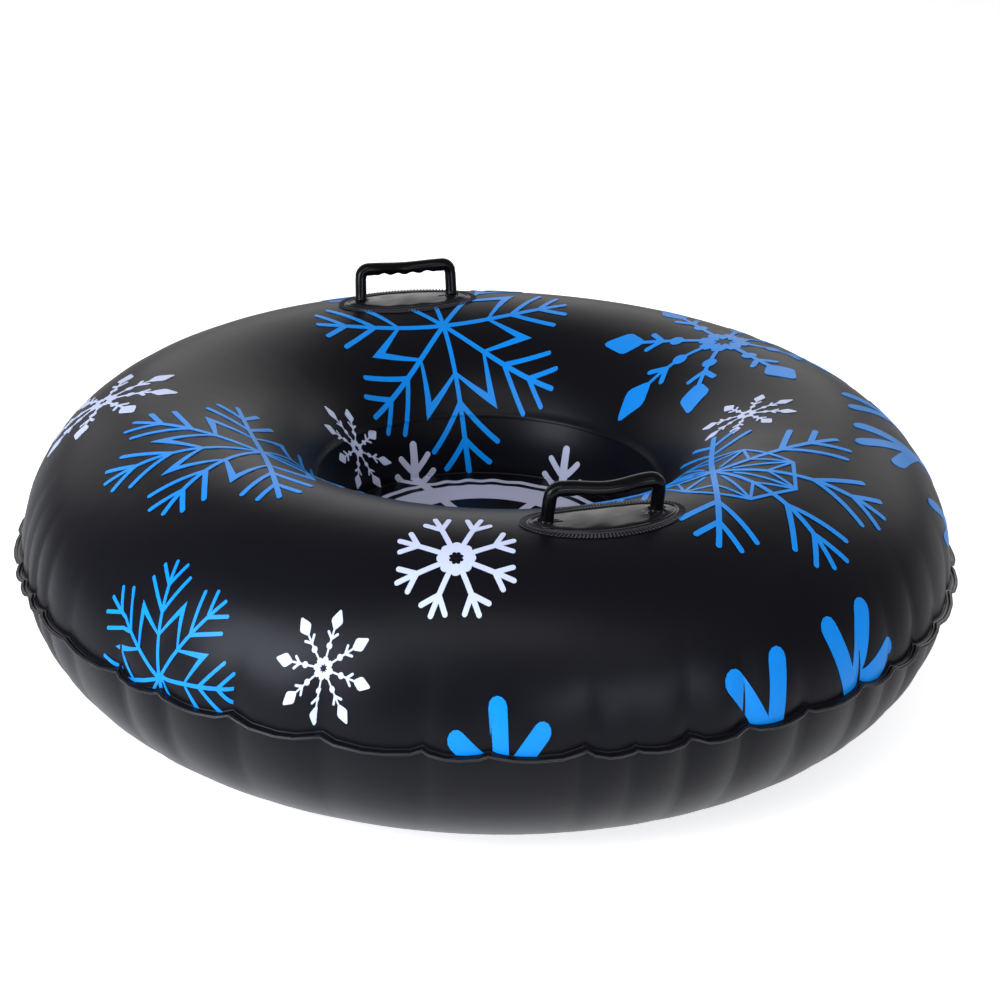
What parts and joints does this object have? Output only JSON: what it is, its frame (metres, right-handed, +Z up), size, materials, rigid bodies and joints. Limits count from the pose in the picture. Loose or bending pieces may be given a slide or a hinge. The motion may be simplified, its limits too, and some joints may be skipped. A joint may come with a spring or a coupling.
{
  "type": "inflatable sled",
  "caption": "Round inflatable snow tube with a seat floor in its well, a folded outer weld, tilting moulded handles on oval patches and a screw valve.",
  "frame": {"origin": "centre of the tube on the ground, under the middle of the seat", "axes": "+Z up; +X to the right and +Y away, as the tube is seen with its front handle nearest"},
  "size_m": [0.998, 0.998, 0.3451],
  "materials": {
    "printed_vinyl": "satin black vinyl sheet with blue and pale snowflakes printed on it",
    "black_vinyl": "satin black vinyl sheet",
    "handle_plastic": "gloss black moulding",
    "patch_vinyl": "glossy dark vinyl with a ribbed weld border",
    "valve_plastic": "satin black moulding",
    "seal_rubber": "matt dark rubber"
  },
  "bodies": {
    "tube": {"top_sheet": "printed_vinyl", "bottom_sheet": "black_vinyl", "handle_patch_front": "patch_vinyl", "handle_patch_rear": "patch_vinyl", "valve_base": "valve_plastic"},
    "handle_front": {"handle_front": "handle_plastic"},
    "handle_rear": {"handle_rear": "handle_plastic"},
    "valve_adapter": {"valve_adapter": "valve_plastic", "valve_seal_ring": "seal_rubber", "valve_cap_strap": "valve_plastic"},
    "valve_diaphragm": {"valve_diaphragm": "seal_rubber"},
    "valve_cap": {"valve_cap": "valve_plastic"}
  },
  "joints": [
    {"name": "handle_front_tilt", "type": "hinge", "parent": "tube", "child": "handle_front", "pos_m": [0.1057, -0.3105, 0.3021], "axis": [0.9466, 0.3223, 0], "range_deg": [-35.5, 14.5], "stiffness_Nm_per_rad": 0.5},
    {"name": "handle_rear_tilt", "type": "hinge", "parent": "tube", "child": "handle_rear", "pos_m": [-0.1019, 0.31177, 0.3021], "axis": [-0.9505, -0.3107, 0], "range_deg": [-35.5, 14.5], "stiffness_Nm_per_rad": 0.5},
    {"name": "valve_adapter_off", "type": "slide", "parent": "tube", "child": "valve_adapter", "axis": [0.326, 0.8958, 0.3021], "range_m": [0, 0.02]},
    {"name": "valve_diaphragm_open", "type": "slide", "parent": "valve_adapter", "child": "valve_diaphragm", "axis": [-0.326, -0.8958, -0.3021], "range_m": [0, 0.002], "stiffness_N_per_m": 20},
    {"name": "valve_cap_off", "type": "slide", "parent": "valve_adapter", "child": "valve_cap", "axis": [0.326, 0.8958, 0.3021], "range_m": [0, 0.012]}
  ]
}
